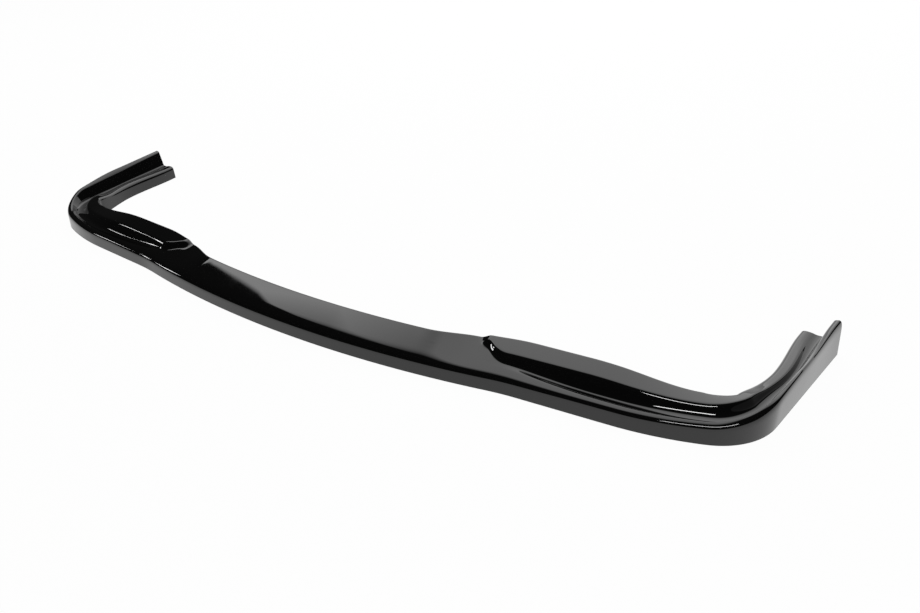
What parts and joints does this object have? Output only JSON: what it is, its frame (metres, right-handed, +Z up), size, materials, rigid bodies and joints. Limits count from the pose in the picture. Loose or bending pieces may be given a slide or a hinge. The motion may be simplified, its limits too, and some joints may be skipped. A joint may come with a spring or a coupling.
{
  "type": "front splitter lip",
  "caption": "U-shaped gloss black front splitter lip: a thin moulded shell with a rolled nose, raised pads, side channels and ridged return legs, fitted under a car's front bumper.",
  "frame": {"origin": "on the floor, under the middle of the outline's box", "axes": "+X along the car's width, -Y ahead of the car's nose, +Z up"},
  "size_m": [1.6432, 0.4224, 0.0619],
  "materials": {
    "gloss_black_sheet": "polished, gloss black"
  },
  "bodies": {
    "root": {"lip_shell": "gloss_black_sheet"}
  },
  "joints": []
}
